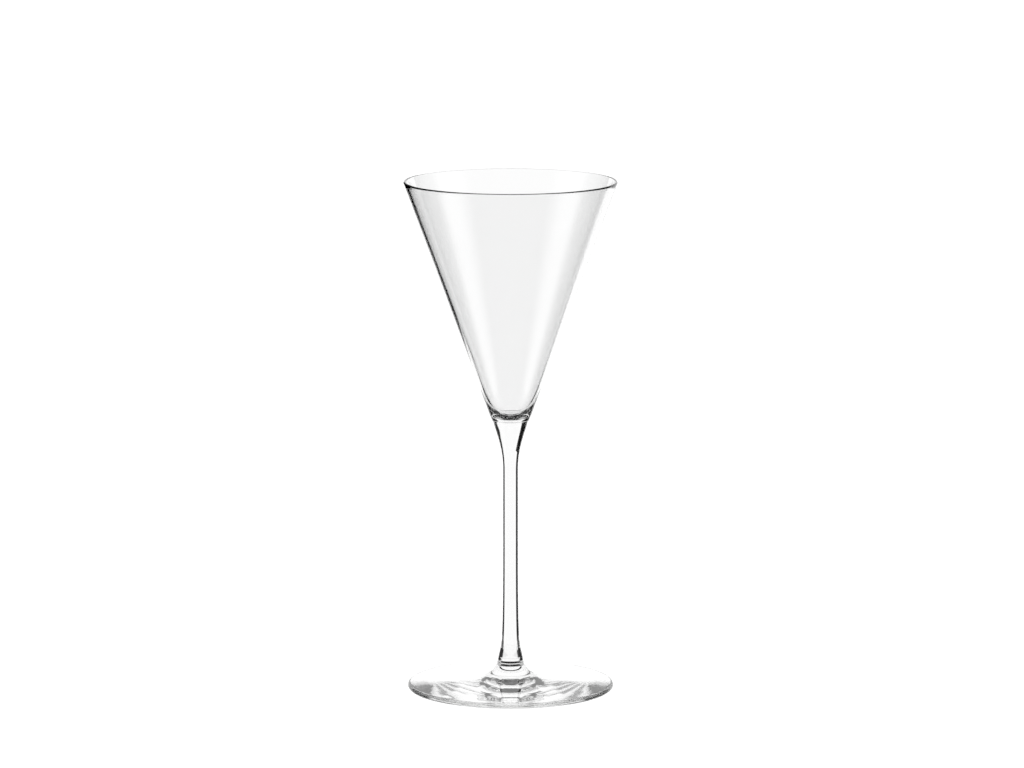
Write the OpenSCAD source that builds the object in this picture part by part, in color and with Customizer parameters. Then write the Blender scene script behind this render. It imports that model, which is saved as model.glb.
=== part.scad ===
// Long-stemmed martini glass, hand-blown form
// Four pieces of glass fused face to face: bowl, stem, collar and foot.
// Millimetres, +Z up, origin at the centre of the foot on the ground.

/* [Overall] */
// Height from the ground to the rim
glass_h = 210; // [200:1:220]

/* [Bowl] */
// Outer diameter at the rim
rim_d = 87; // [82:0.5:94]
// Outer diameter at the lower edge of the cone
cone_base_d = 15.7; // [15.4:0.1:17]
// Height of the lower edge of the cone
cone_base_z = 112; // [109:0.5:115]
// Wall thickness at the rim
rim_wall = 1.1; // [0.8:0.05:1.6]
// Wall thickness where the inside starts to round in
low_wall = 1.4; // [1.2:0.1:2]
// Height above the cone's lower edge where the inside starts to round in
well_h = 16.5; // [14:0.5:22]
// Solid glass under the lowest point of the inside
well_floor = 0.7; // [0.5:0.1:2]

/* [Stem] */
// Diameter of the drawn stem
stem_d = 6.1; // [5:0.1:7.4]
// Diameter where the stem meets the bowl
stem_top_d = 14.6; // [13.6:0.1:14.6]
// Length of the flare under the bowl
top_flare = 20.5; // [16:0.5:26]
// Diameter where the stem meets the collar
stem_base_d = 10.8; // [9.6:0.1:11]
// Length of the flare above the collar
base_flare = 53; // [40:1:60]

/* [Collar] */
// Diameter of the collar
collar_d = 11; // [10.9:0.1:12]
// Thickness of the collar
collar_t = 1.1; // [0.8:0.1:2]

/* [Foot] */
// Diameter of the foot
foot_d = 84.6; // [76:0.2:92]
// Thickness of the foot's rounded edge
edge_t = 2.3; // [1.6:0.1:2.8]
// Height of the boss at the middle of the foot
boss_h = 9.5; // [8.8:0.1:10.2]
// Diameter of the boss where it meets the collar
boss_d = 11.3; // [11:0.1:12.6]
// Height where the boss runs out into the slope
boss_root_h = 4.8; // [4.2:0.1:5.2]
// Diameter where the boss runs out into the slope
boss_root_d = 28.8; // [26:0.2:34]
// Rise of the hollow under the foot
hollow_h = 0.4; // [0.2:0.05:1]
// Width of the flat ring that the foot stands on
ring_w = 6.8; // [3:0.1:9]

/* [Hidden] */
$fn = 96;

collar_z = boss_h;
stem_z = boss_h + collar_t;
shoulder_h = 0.5;
stem_top_z = cone_base_z - shoulder_h;
lip_r = rim_wall / 2;
lip_z = glass_h - lip_r;
cone_slope = (rim_d / 2 - cone_base_d / 2) / (lip_z - cone_base_z);
cone_tilt = atan(cone_slope);
well_top_z = cone_base_z + well_h;
well_z = stem_top_z + well_floor;
boss_reach = 6.5;
boss_side = 1.85;
boss_drop = 2.9;
ring_outer_r = foot_d / 2 - edge_t * 0.75;
ring_inner_r = ring_outer_r - ring_w;
glass_colour = [0.90, 0.92, 0.92, 0.35];

// outer radius of the cone at a height
function cone_r(z) = cone_base_d / 2 + cone_slope * (z - cone_base_z);

// points of a cubic curve from a to d that leaves towards b and arrives from c
function curve(a, b, c, d, n) = [
    for (i = [0 : n]) let (t = i / n, u = 1 - t)
        u * u * u * a + 3 * u * u * t * b + 3 * u * t * t * c + t * t * t * d
];

// points of an arc about a centre, from one angle to another
function arc(centre, r, from, to, n) = [
    for (i = [0 : n]) let (w = from + (to - from) * i / n) centre + r * [cos(w), sin(w)]
];

// a solid of revolution from a half outline
module turned(outline) {
    rotate_extrude($fn = 96) polygon(outline);
}

// shallow disc with a rounded edge, a low boss, and a slight hollow underneath
module foot() {
    edge_r = edge_t / 2;
    edge_c = [foot_d / 2 - edge_r, edge_r];
    rise = (boss_root_h - edge_t) / (foot_d / 2 - edge_r - boss_root_d / 2);
    hollow = [for (i = [0 : 15]) let (s = i / 16)
        [ring_inner_r * s, hollow_h * (1 - s * s)]];
    boss = curve([boss_root_d / 2, boss_root_h],
        [boss_root_d / 2 - boss_reach, boss_root_h + boss_reach * rise],
        [boss_d / 2 + boss_side, boss_h - boss_drop], [boss_d / 2, boss_h], 14);
    color(glass_colour)
        turned(concat(
            hollow,
            [[ring_inner_r, 0], [ring_outer_r, 0]],
            arc(edge_c, edge_r, -65, 90 - atan(rise), 10),
            boss,
            [[0, boss_h]]
        ));
}

// small disc between the foot and the stem, with softly rounded edges
module stem_collar() {
    r = collar_d / 2;
    round_r = 0.1;
    color(glass_colour)
        turned(concat(
            [[0, collar_z], [r, collar_z]],
            arc([r - round_r, stem_z - round_r], round_r, 0, 90, 4),
            [[0, stem_z]]
        ));
}

// drawn solid rod that flares out at both ends
module stem() {
    r = stem_d / 2;
    base = curve([stem_base_d / 2, stem_z], [r + 0.7, stem_z + base_flare * 0.18],
        [r, stem_z + base_flare * 0.02], [r, stem_z + base_flare], 16);
    top = curve([r, stem_top_z - top_flare], [r, stem_top_z - top_flare * 0.57],
        [stem_top_d / 2 - 1.87, stem_top_z - top_flare * 0.32], [stem_top_d / 2, stem_top_z], 18);
    color(glass_colour)
        turned(concat([[0, stem_z]], base, top, [[0, stem_top_z]]));
}

// thin conical shell with a thick rounded bottom and a narrow shoulder over the stem
module bowl() {
    low_in = cone_r(well_top_z) - low_wall / cos(cone_tilt);
    well = curve([low_in, well_top_z],
        [low_in - cone_slope * well_h * 0.75, well_top_z - well_h * 0.75],
        [low_in * 0.45, well_z], [0, well_z], 18);
    shoulder = curve([stem_top_d / 2, stem_top_z], [stem_top_d / 2 + 0.2, stem_top_z],
        [cone_base_d / 2 - 0.11, cone_base_z - 0.3], [cone_base_d / 2, cone_base_z], 6);
    color(glass_colour)
        turned(concat(
            [[0, stem_top_z]],
            shoulder,
            arc([rim_d / 2 - lip_r, lip_z], lip_r, -cone_tilt, 180 - cone_tilt, 12),
            well
        ));
}

foot();
stem_collar();
stem();
bowl();
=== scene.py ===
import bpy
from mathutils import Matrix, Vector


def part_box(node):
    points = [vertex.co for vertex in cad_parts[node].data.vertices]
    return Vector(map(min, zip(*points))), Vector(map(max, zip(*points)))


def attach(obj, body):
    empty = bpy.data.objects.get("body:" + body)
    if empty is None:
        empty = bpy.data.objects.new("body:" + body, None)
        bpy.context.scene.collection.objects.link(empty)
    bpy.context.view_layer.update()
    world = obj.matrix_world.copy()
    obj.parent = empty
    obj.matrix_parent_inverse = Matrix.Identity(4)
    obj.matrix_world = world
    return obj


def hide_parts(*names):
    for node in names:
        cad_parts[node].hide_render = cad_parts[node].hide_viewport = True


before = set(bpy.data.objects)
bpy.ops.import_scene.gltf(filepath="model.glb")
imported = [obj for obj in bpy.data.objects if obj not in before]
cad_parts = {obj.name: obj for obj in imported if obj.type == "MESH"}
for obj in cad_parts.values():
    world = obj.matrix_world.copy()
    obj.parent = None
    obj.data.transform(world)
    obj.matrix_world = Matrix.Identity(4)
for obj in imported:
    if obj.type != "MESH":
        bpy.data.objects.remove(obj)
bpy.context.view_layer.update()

import math
import bpy
import numpy as np

scene = bpy.context.scene

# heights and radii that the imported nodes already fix, in metres
bowlLow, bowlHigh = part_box("bowl")
stemLow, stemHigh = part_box("stem")
collarLow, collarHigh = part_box("stem_collar")
footLow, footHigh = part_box("foot")


def cubicCurve(start, leave, arrive, end, count):
    # weighted sum of four points, with the cubic Bernstein weights of t from 0 to 1
    t = np.linspace(0.0, 1.0, count)[:, None]
    u = 1.0 - t
    corners = [np.asarray(p, float) for p in (start, leave, arrive, end)]
    return u**3 * corners[0] + 3 * u * u * t * corners[1] + 3 * u * t * t * corners[2] + t**3 * corners[3]


def roundArc(centre, radius, fromDeg, toDeg, count):
    # centre plus radius times cosine and sine of an angle that runs evenly
    a = np.radians(np.linspace(fromDeg, toDeg, count))
    return np.stack([centre[0] + radius * np.cos(a), centre[1] + radius * np.sin(a)], 1)


def straightRun(start, end, count):
    # even steps from one point to the other
    t = np.linspace(0.0, 1.0, count)[:, None]
    return (1 - t) * np.asarray(start, float) + t * np.asarray(end, float)


def joinRuns(*runs):
    # runs end to end, with a point dropped where it repeats the one before
    points = np.concatenate(runs)
    step = np.hypot(*np.diff(points, axis=0).T)
    return points[np.concatenate([[True], step > 1e-7])]


def turnedMesh(name, outline, around, weldHeights):
    # outline(s) = (radius, height) carried round Z: x = r cos a, y = r sin a, z = height, a in even steps;
    # the first and last points lie on the axis and close as fans
    a = np.arange(around) * (2 * math.pi / around)
    r, z = outline[1:-1, 0], outline[1:-1, 1]
    grid = np.stack([
        r[:, None] * np.cos(a), r[:, None] * np.sin(a), np.repeat(z[:, None], around, 1)], 2)
    verts = np.concatenate([grid.reshape(-1, 3),
                            [[0, 0, outline[0, 1]], [0, 0, outline[-1, 1]]]])
    rows = len(r)
    index = np.arange(rows * around).reshape(rows, around)
    nextIndex = np.roll(index, -1, 1)
    quads = np.stack([index[:-1], nextIndex[:-1], nextIndex[1:], index[1:]], 2).reshape(-1, 4)
    bottom, top = rows * around, rows * around + 1
    fans = np.concatenate([
        np.stack([nextIndex[0], index[0], np.full(around, bottom)], 1),
        np.stack([index[-1], nextIndex[-1], np.full(around, top)], 1)])
    loops = np.concatenate([quads.ravel(), fans.ravel()])
    sizes = np.concatenate([np.full(len(quads), 4), np.full(len(fans), 3)])
    starts = np.concatenate([[0], np.cumsum(sizes)[:-1]])

    mesh = bpy.data.meshes.new(name)
    mesh.vertices.add(len(verts))
    mesh.vertices.foreach_set("co", verts.ravel())
    mesh.loops.add(len(loops))
    mesh.loops.foreach_set("vertex_index", loops)
    mesh.polygons.add(len(sizes))
    mesh.polygons.foreach_set("loop_start", starts)
    mesh.update(calc_edges=True)

    # the welded ends are level discs: flat shaded and in the second slot
    levelWithin = 1e-7
    faceZ = verts[loops, 2]
    centreZ = np.add.reduceat(faceZ, starts) / sizes
    level = np.maximum.reduceat(faceZ, starts) - np.minimum.reduceat(faceZ, starts) < levelWithin
    weld = np.zeros(len(sizes), bool)
    for height in weldHeights:
        weld |= level & (np.abs(centreZ - height) < levelWithin)
    mesh.polygons.foreach_set("material_index", weld.astype(np.int32))
    mesh.polygons.foreach_set("use_smooth", ~weld)
    mesh.validate()
    obj = bpy.data.objects.new(name, mesh)
    scene.collection.objects.link(obj)
    return obj


def newMaterial(name):
    # an empty node material and its tree
    mat = bpy.data.materials.new(name)
    mat.use_nodes = True
    mat.node_tree.nodes.clear()
    return mat, mat.node_tree


def addNode(tree, kind, inputs, operation=None, easing=None):
    # a node with each input linked where a socket is given, and set where a number is given
    node = tree.nodes.new(kind)
    if operation:
        node.operation = operation
    if easing:
        node.interpolation_type = easing
    for key, value in inputs.items():
        if isinstance(value, bpy.types.NodeSocket):
            tree.links.new(value, node.inputs[key])
        else:
            node.inputs[key].default_value = value
    return node


clearGlass = {
    "ior": 1.52,
    "tint": (0.989, 0.990, 0.990, 1.0),
    "hazeRoughness": 0.03,      # most that handling and washing dull the polish
    "hazeSize": 0.004,          # metres across a patch of it
    "hazeFrom": 0.45,           # noise levels where a patch begins and is full
    "hazeTo": 0.8,
    "waveDepth": 0.0000015,     # metres between the crests and hollows of the worked surface
    "scuffRoughness": 0.12,     # the worn ring that the foot slides on
    "scuffDepth": 0.000004,
    "scuffSize": 0.0011,
    "scuffFrom": 0.5,
    "scuffTo": 0.7,
    "scuffSoftIn": 0.001,       # metres over which the marks begin at the ring's two edges
    "scuffSoftOut": 0.0005,
    "scuffHeight": 0.0001,      # nothing above this is worn
}


def scuffMarks(tree, place, ringIn, ringOut):
    # 1 between the ring's two radii and at no height, 0 elsewhere, times fine noise cut to its peaks
    apart = addNode(tree, "ShaderNodeSeparateXYZ", {"Vector": place}).outputs
    flat = addNode(tree, "ShaderNodeCombineXYZ", {"X": apart["X"], "Y": apart["Y"]})
    radius = addNode(tree, "ShaderNodeVectorMath", {0: flat.outputs["Vector"]}, "LENGTH").outputs["Value"]
    inner = addNode(tree, "ShaderNodeMapRange", {
        "Value": radius, "From Min": ringIn, "From Max": ringIn + clearGlass["scuffSoftIn"]})
    outer = addNode(tree, "ShaderNodeMapRange", {
        "Value": radius, "From Min": ringOut, "From Max": ringOut - clearGlass["scuffSoftOut"]})
    low = addNode(tree, "ShaderNodeMath", {0: apart["Z"], 1: clearGlass["scuffHeight"]}, "LESS_THAN")
    noise = addNode(tree, "ShaderNodeTexNoise", {
        "Vector": place, "Scale": 1 / clearGlass["scuffSize"], "Detail": 3.0})
    marks = addNode(tree, "ShaderNodeMapRange", {
        "Value": noise.outputs["Fac"],
        "From Min": clearGlass["scuffFrom"], "From Max": clearGlass["scuffTo"]})
    product = inner.outputs["Result"]
    for factor in (outer.outputs["Result"], low.outputs["Value"], marks.outputs["Result"]):
        product = addNode(tree, "ShaderNodeMath", {0: product, 1: factor}, "MULTIPLY").outputs["Value"]
    return product


def glassMaterial(name, waveAcross, waveAlong, standRing=None):
    # roughness = haze patches + scuff marks on the standing ring; height = long waves + the same marks,
    # waveAcross and waveAlong being the metres of one wave sideways and up the glass
    mat, tree = newMaterial(name)
    place = tree.nodes.new("ShaderNodeTexCoord").outputs["Object"]

    # patchy haze, eased in so that most of the surface stays polished
    haze = addNode(tree, "ShaderNodeTexNoise", {
        "Vector": place, "Scale": 1 / clearGlass["hazeSize"], "Detail": 5.0})
    roughness = addNode(tree, "ShaderNodeMapRange", {
        "Value": haze.outputs["Fac"], "From Min": clearGlass["hazeFrom"], "From Max": clearGlass["hazeTo"],
        "To Max": clearGlass["hazeRoughness"]}, easing="SMOOTHSTEP").outputs["Result"]

    # long shallow waves left by blowing, drawing or pressing
    stretch = addNode(tree, "ShaderNodeMapping", {
        "Vector": place, "Scale": (1 / waveAcross, 1 / waveAcross, 1 / waveAlong)})
    wave = addNode(tree, "ShaderNodeTexNoise", {
        "Vector": stretch.outputs["Vector"], "Scale": 1.0, "Detail": 1.0})
    normal = addNode(tree, "ShaderNodeBump", {
        "Height": wave.outputs["Fac"], "Distance": clearGlass["waveDepth"]}).outputs["Normal"]

    if standRing:
        scuff = scuffMarks(tree, place, *standRing)
        roughness = addNode(tree, "ShaderNodeMath", {
            0: scuff, 1: clearGlass["scuffRoughness"], 2: roughness}, "MULTIPLY_ADD").outputs["Value"]
        normal = addNode(tree, "ShaderNodeBump", {
            "Height": scuff, "Distance": clearGlass["scuffDepth"], "Normal": normal}).outputs["Normal"]

    shader = addNode(tree, "ShaderNodeBsdfPrincipled", {
        "Base Color": clearGlass["tint"], "Transmission Weight": 1.0, "IOR": clearGlass["ior"],
        "Roughness": roughness, "Normal": normal})
    addNode(tree, "ShaderNodeOutputMaterial", {"Surface": shader.outputs["BSDF"]})
    return mat


def weldMaterial():
    # inside a weld there is no surface, so light passes straight through
    mat, tree = newMaterial("weldedFace")
    clear = addNode(tree, "ShaderNodeBsdfTransparent", {})
    addNode(tree, "ShaderNodeOutputMaterial", {"Surface": clear.outputs["BSDF"]})
    return mat


weldedFace = weldMaterial()


def settle(obj, node, glass):
    # glass in the first slot and the weld in the second, then the piece takes its node's place
    obj.data.materials.append(glass)
    obj.data.materials.append(weldedFace)
    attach(obj, "root")
    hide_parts(node)


bowl = {
    "coneBaseRadius": 0.00785,
    "coneBaseHeight": 0.1120,
    "rimWall": 0.0011,
    "lowWall": 0.0014,
    "wellHeight": 0.0165,
    "wellFloor": 0.0007,        # glass of the bowl over the weld
    "wellTaper": 0.75,          # share of the well's height that leans with the cone
    "wellSpread": 0.45,         # how far out its level bottom reaches
    "weldRadius": 0.0073,
    "ledge": 0.0002,            # the shoulder leaves the weld level, and meets the cone in line with it
    "shoulderRise": 0.0003,
    "shoulderLean": 0.00011,
    "around": 288,
}


def bowlOutline(b):
    # axis, weld, shoulder, cone up to the bead, bead, cone down inside, rounded well
    rimRadius, top = bowlHigh.x, bowlHigh.z
    baseR, baseZ = b["coneBaseRadius"], b["coneBaseHeight"]
    weldR, weldZ = b["weldRadius"], bowlLow.z
    lip = b["rimWall"] / 2
    lipHeight = top - lip
    slope = (rimRadius - baseR) / (lipHeight - baseZ)
    tilt = math.atan(slope)
    tiltDeg = math.degrees(tilt)
    wellTop = baseZ + b["wellHeight"]
    wellBottom = weldZ + b["wellFloor"]
    lowIn = baseR + slope * b["wellHeight"] - b["lowWall"] / math.cos(tilt)
    taper = b["wellHeight"] * b["wellTaper"]
    bead = roundArc((rimRadius - lip, lipHeight), lip, -tiltDeg, 180 - tiltDeg, 25)
    return joinRuns(
        [[0, weldZ]],
        straightRun([weldR * 0.5, weldZ], [weldR, weldZ], 2),
        cubicCurve([weldR, weldZ], [weldR + b["ledge"], weldZ],
                   [baseR - b["shoulderLean"], baseZ - b["shoulderRise"]], [baseR, baseZ], 16),
        straightRun([baseR, baseZ], bead[0], 60),
        bead,
        straightRun(bead[-1], [lowIn, wellTop], 50),
        cubicCurve([lowIn, wellTop], [lowIn - slope * taper, wellTop - taper],
                   [lowIn * b["wellSpread"], wellBottom], [0, wellBottom], 70))


bowlPiece = turnedMesh("blownBowl", bowlOutline(bowl), bowl["around"], [bowlLow.z])
settle(bowlPiece, "bowl", glassMaterial("blownGlass", 0.020, 0.012))
print("bowl made")


stem = {
    "radius": 0.00305,
    "topRadius": 0.0073,
    "topFlare": 0.0205,
    "topEase": (0.57, 0.32),    # shares of the flare, down from the bowl, where it leaves the rod and opens
    "topLean": 0.00187,
    "baseRadius": 0.0054,
    "baseFlare": 0.053,
    "baseEase": (0.18, 0.02),   # shares of the flare, up from the collar
    "baseLean": 0.0007,
    "around": 160,
}


def stemOutline(s):
    # axis, weld, flare in to the rod, rod, flare out to the bowl, axis
    low, high, r = stemLow.z, stemHigh.z, s["radius"]
    top, topFlare, (topLeave, topOpen) = s["topRadius"], s["topFlare"], s["topEase"]
    base, baseFlare, (baseLeave, baseClose) = s["baseRadius"], s["baseFlare"], s["baseEase"]
    baseRun = cubicCurve([base, low], [r + s["baseLean"], low + baseFlare * baseLeave],
                         [r, low + baseFlare * baseClose], [r, low + baseFlare], 90)
    topRun = cubicCurve([r, high - topFlare], [r, high - topFlare * topLeave],
                        [top - s["topLean"], high - topFlare * topOpen], [top, high], 80)
    return joinRuns(
        [[0, low]], straightRun([base * 0.5, low], [base, low], 2),
        baseRun, straightRun(baseRun[-1], topRun[0], 20), topRun,
        straightRun([top, high], [top * 0.5, high], 2), [[0, high]])


stemGlass = glassMaterial("drawnGlass", 0.008, 0.060)
stemPiece = turnedMesh("drawnStem", stemOutline(stem), stem["around"], [stemLow.z, stemHigh.z])
settle(stemPiece, "stem", stemGlass)
print("stem made")


collar = {
    "radius": 0.0055,
    "soften": 0.0001,
    "around": 160,
}


def collarOutline(c):
    # axis, weld, wall, softened shoulder, weld, axis
    low, high, r, s = collarLow.z, collarHigh.z, c["radius"], c["soften"]
    return joinRuns(
        [[0, low]], straightRun([r * 0.5, low], [r, low], 2),
        straightRun([r, low], [r, high - s], 8),
        roundArc((r - s, high - s), s, 0, 90, 16),
        straightRun([r - s, high], [r * 0.5, high], 2), [[0, high]])


collarPiece = turnedMesh("stemCollar", collarOutline(collar), collar["around"], [collarLow.z, collarHigh.z])
settle(collarPiece, "stem_collar", stemGlass)
print("collar made")


foot = {
    "edge": 0.0023,
    "ringInset": 0.75,          # shares of the edge's thickness from the rim to the standing ring
    "ring": 0.0068,
    "hollow": 0.0004,
    "bossRadius": 0.00565,
    "bossSide": 0.00185,
    "bossDrop": 0.0029,
    "rootHeight": 0.0048,
    "rootRadius": 0.0144,
    "rootReach": 0.0065,
    "around": 320,
}


def standingRing(f):
    # the inner and outer radius of the flat ring, from the rim inwards
    outer = footHigh.x - f["edge"] * f["ringInset"]
    return outer - f["ring"], outer


def footOutline(f):
    # hollow under the foot, standing ring, rounded edge, slope, boss, weld;
    # the hollow is its rise times one minus the square of the share of the ring's inner radius
    radius, high, bossR = footHigh.x, footHigh.z, f["bossRadius"]
    rootR, rootZ = f["rootRadius"], f["rootHeight"]
    edge = f["edge"] / 2
    ringIn = standingRing(f)[0]
    s = np.linspace(0, 1, 80)
    hollow = np.stack([ringIn * s, f["hollow"] * (1 - s * s)], 1)
    rise = (rootZ - f["edge"]) / (radius - edge - rootR)
    rim = roundArc((radius - edge, edge), edge, -90, 90 - math.degrees(math.atan(rise)), 33)
    boss = cubicCurve([rootR, rootZ], [rootR - f["rootReach"], rootZ + f["rootReach"] * rise],
                      [bossR + f["bossSide"], high - f["bossDrop"]], [bossR, high], 60)
    return joinRuns(
        hollow, straightRun([ringIn, 0], rim[0], 6), rim,
        straightRun(rim[-1], boss[0], 60), boss,
        straightRun([bossR, high], [bossR * 0.5, high], 2), [[0, high]])


footPiece = turnedMesh("flatFoot", footOutline(foot), foot["around"], [footHigh.z])
settle(footPiece, "foot", glassMaterial("footGlass", 0.015, 0.015, standingRing(foot)))
print("foot made")


camera = {
    "lens": 183.1,              # on a 36 mm wide sensor
    "away": 2.1005,
    "height": 0.4678,
    "aside": 0.0006,
    "pitch": 9.23,
}
camData = bpy.data.cameras.new("productCamera")
camData.lens = camera["lens"]
camData.sensor_width = 36
camData.clip_start = 0.05
camData.clip_end = 60
camObj = bpy.data.objects.new("productCamera", camData)
camObj.location = (camera["aside"], -camera["away"], camera["height"])
camObj.rotation_euler = (math.radians(90 - camera["pitch"]), 0, 0)
scene.collection.objects.link(camObj)
scene.camera = camObj
print("camera set")


# angles are degrees from straight ahead and up from level, and the rest is in metres
studio = {
    "background": 1.15,         # what the camera sees past the glass
    "roomRadius": 7.0,
    "roomHeight": 4.0,
    "roomSides": 96,
    "floorHeight": -0.0004,
    "dark": 0.03,               # the unlit studio round the set
    "white": 1.075,
    "rigRadius": 5.0,
    "rigCentre": 0.1,
    "panelSteps": (25, 13),
    "backSpan": (-32, 37),
    "backTop": 41,
    "backFade": 0.12,
    "tableWhite": 0.9,          # paper in front of the back panel, a little darker
    "tableStart": -62,
    "tableEnd": -35,
    "wingSpan": (-38, 44),      # a wider strip in front of it at the height of the stem and foot
    "wingRise": (-22, 15),
    "wingFade": 0.05,
    "wingNearer": 0.98,
    "sideSpan": (74, 136),
    "sideTop": 45,
    "sideGlow": 0.70,
    "sideFade": (0.3, 0.55),
    "rearSpan": (100, 180),
    "rearRise": (60, 90),
    "rearGlow": 0.3,
    "paperSpan": 35,            # paper under the back of the foot
    "paperInner": 0.024,
    "paperOuter": 0.056,
    "paperHeight": -0.0003,
    "paperSteps": 33,
    "flagBack": 0.10,           # black card that draws the left edge of the bowl
    "flagEdge": -0.0605,
    "flagLow": 0.105,
    "flagBend": 0.15,           # below this its edge runs in, side by side with the bowl
    "flagFoot": -0.044,
    "flagWidth": 0.2,
    "flagHeight": 0.16,
}


def glowMaterial(name, strength, fadeLow=0.0, fadeHigh=0.0):
    # light given off, eased to nothing towards the panel's two upright edges where asked
    mat, tree = newMaterial(name)
    glow = addNode(tree, "ShaderNodeEmission", {"Strength": strength})
    addNode(tree, "ShaderNodeOutputMaterial", {"Surface": glow.outputs["Emission"]})
    if fadeLow > 0:
        uv = addNode(tree, "ShaderNodeUVMap", {})
        across = addNode(tree, "ShaderNodeSeparateXYZ", {"Vector": uv.outputs["UV"]}).outputs["X"]
        rise = addNode(tree, "ShaderNodeMapRange", {
            "Value": across, "From Max": fadeLow, "To Max": strength}, easing="SMOOTHSTEP")
        fall = addNode(tree, "ShaderNodeMapRange", {
            "Value": across, "From Min": 1 - fadeHigh, "To Min": 1.0, "To Max": 0.0}, easing="SMOOTHSTEP")
        both = addNode(tree, "ShaderNodeMath", {
            0: rise.outputs["Result"], 1: fall.outputs["Result"]}, "MULTIPLY")
        tree.links.new(both.outputs["Value"], glow.inputs["Strength"])
    return mat


# the set turns about the glass with the camera, as on a turntable
turntable = bpy.data.objects.new("turntable", None)
scene.collection.objects.link(turntable)
follow = turntable.constraints.new("COPY_ROTATION")
follow.target = camObj
follow.use_x = follow.use_y = False


def onTurntable(name, mesh):
    # seen by the glass alone, and no part of the object
    obj = bpy.data.objects.new(name, mesh)
    scene.collection.objects.link(obj)
    obj.parent = turntable
    obj.visible_camera = False
    obj.visible_diffuse = False
    obj.visible_shadow = False
    return obj


def stagePanel(name, azimuths, elevations, mat, nearer=1.0):
    # part of a sphere round the glass: x = r sin a cos e, y = r cos a cos e, z = r sin e;
    # the u of its map runs across it from 0 to 1
    wide, tall = studio["panelSteps"]
    a = np.radians(np.linspace(*azimuths, wide))
    e = np.radians(np.linspace(*elevations, tall))
    a, e = np.meshgrid(a, e, indexing="ij")
    r = studio["rigRadius"] * nearer
    verts = np.stack([r * np.sin(a) * np.cos(e), r * np.cos(a) * np.cos(e),
                      r * np.sin(e) + studio["rigCentre"]], 2).reshape(-1, 3)
    index = np.arange(wide * tall).reshape(wide, tall)
    faces = np.stack([index[:-1, :-1], index[:-1, 1:], index[1:, 1:], index[1:, :-1]], 2).reshape(-1, 4)
    mesh = bpy.data.meshes.new(name)
    mesh.from_pydata(verts.tolist(), [], faces.tolist())
    across = (faces // tall) / (wide - 1)
    uv = mesh.uv_layers.new(name="across")
    uv.data.foreach_set("uv", np.stack([across.ravel(), np.zeros(across.size)], 1).ravel())
    mesh.materials.append(mat)
    return onTurntable(name, mesh)


def arcPaper(name, halfSpan, inner, outer, height, mat):
    # a level strip between two radii, over the same span of degrees to each side of straight ahead
    count = studio["paperSteps"]
    a = np.radians(np.linspace(-halfSpan, halfSpan, count))
    rows = [np.column_stack([r * np.sin(a), r * np.cos(a), np.full(count, height)]) for r in (inner, outer)]
    i = np.arange(count - 1)
    quads = np.stack([i, i + 1, i + count + 1, i + count], 1)
    mesh = bpy.data.meshes.new(name)
    mesh.from_pydata(np.concatenate(rows).tolist(), [], quads.tolist())
    mesh.materials.append(mat)
    return onTurntable(name, mesh)


def paleRoom():
    # floor and round wall, even and bright, for the camera alone: x = r cos t, y = r sin t, t in even steps
    sides = studio["roomSides"]
    t = np.linspace(0, 2 * math.pi, sides + 1)
    ring = np.stack([np.cos(t), np.sin(t)], 1) * studio["roomRadius"]
    heights = (studio["floorHeight"], studio["roomHeight"])
    verts = np.concatenate([np.column_stack([ring, np.full(sides + 1, z)]) for z in heights])
    i = np.arange(sides)
    walls = np.stack([i, i + sides + 1, i + sides + 2, i + 1], 1)
    mesh = bpy.data.meshes.new("paleRoom")
    mesh.from_pydata(verts.tolist(), [], walls.tolist() + [i.tolist()])
    mesh.materials.append(glowMaterial("paleFloor", studio["background"]))
    obj = bpy.data.objects.new("paleRoom", mesh)
    scene.collection.objects.link(obj)
    obj.visible_glossy = False
    obj.visible_transmission = False


def blackFlag():
    # an upright card with a bent inner edge
    edge, back, low = studio["flagEdge"], studio["flagBack"], studio["flagLow"]
    far, high = edge - studio["flagWidth"], low + studio["flagHeight"]
    mesh = bpy.data.meshes.new("blackFlag")
    mesh.from_pydata([(studio["flagFoot"], back, low), (far, back, low), (far, back, high),
                      (edge, back, high), (edge, back, studio["flagBend"])], [], [(0, 1, 2, 3, 4)])
    mesh.materials.append(glowMaterial("blackCard", 0.0))
    onTurntable("blackFlag", mesh)


paleRoom()
blackFlag()
stagePanel("backPanel", studio["backSpan"], (studio["tableEnd"], studio["backTop"]),
           glowMaterial("backCloth", studio["white"], studio["backFade"], studio["backFade"]))
stagePanel("tablePaper", studio["backSpan"], (studio["tableStart"], studio["tableEnd"]),
           glowMaterial("tablePaper", studio["tableWhite"]))
stagePanel("wingPanel", studio["wingSpan"], studio["wingRise"],
           glowMaterial("wingCloth", studio["white"], studio["wingFade"], studio["wingFade"]),
           studio["wingNearer"])
sideCloth = glowMaterial("sideCloth", studio["sideGlow"], *studio["sideFade"])
sideRise = (-studio["sideTop"], studio["sideTop"])
rearCloth = glowMaterial("rearCloth", studio["rearGlow"])
for side in (-1, 1):
    stagePanel("sidePanel", [side * a for a in studio["sideSpan"]], sideRise, sideCloth)
    stagePanel("rearPanel", [side * a for a in studio["rearSpan"]], studio["rearRise"], rearCloth)
arcPaper("footPaper", studio["paperSpan"], studio["paperInner"], studio["paperOuter"],
         studio["paperHeight"], glowMaterial("whitePaper", studio["white"]))

world = bpy.data.worlds.new("studioWorld")
scene.world = world
world.use_nodes = True
world.node_tree.nodes["Background"].inputs["Strength"].default_value = studio["dark"]
world.node_tree.nodes["Background"].inputs["Color"].default_value = (1, 1, 1, 1)

scene.view_settings.view_transform = "Standard"
scene.view_settings.look = "None"
scene.cycles.max_bounces = 32
scene.cycles.transmission_bounces = 32
scene.cycles.glossy_bounces = 16
scene.cycles.transparent_max_bounces = 32
print("studio made")
